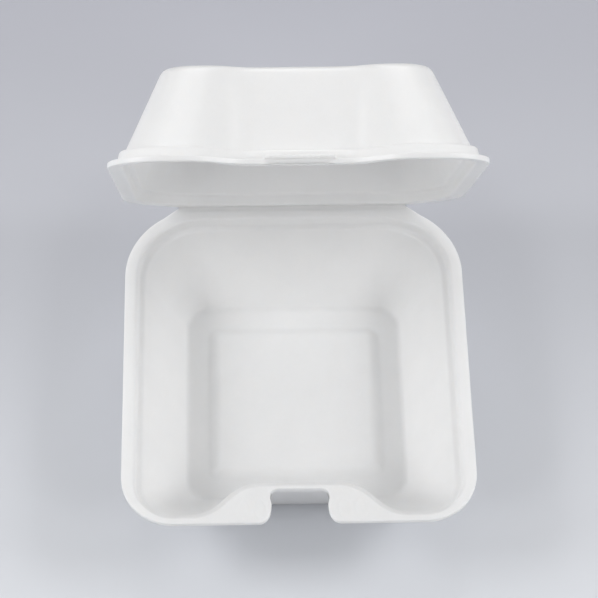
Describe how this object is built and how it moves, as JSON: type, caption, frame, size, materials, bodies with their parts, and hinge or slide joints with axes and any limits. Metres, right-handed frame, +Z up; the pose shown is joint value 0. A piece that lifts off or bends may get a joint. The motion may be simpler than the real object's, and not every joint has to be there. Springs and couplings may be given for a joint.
{
  "type": "foam clamshell container",
  "caption": "Square foam clamshell takeaway box standing open: tapered tray with a raised floor panel and latch notch, and a domed hinged lid with a latch tab.",
  "frame": {"origin": "centre of the tray's foot, on the table", "axes": "+Z up, -Y toward the latch at the front, +X to the right seen from the front; the hinge crease runs along X at the back"},
  "size_m": [0.15, 0.1835, 0.1841],
  "materials": {
    "tray_foam": "satin skin on white foamed sheet",
    "lid_foam": "satin skin on white foamed sheet"
  },
  "bodies": {
    "tray": {"base_tray": "tray_foam"},
    "lid": {"lid": "lid_foam"}
  },
  "joints": [
    {"name": "lid_hinge", "type": "hinge", "parent": "tray", "child": "lid", "pos_m": [0, 0.079, 0.04265], "axis": [-1, 0, 0], "range_deg": [-62, 116]}
  ]
}
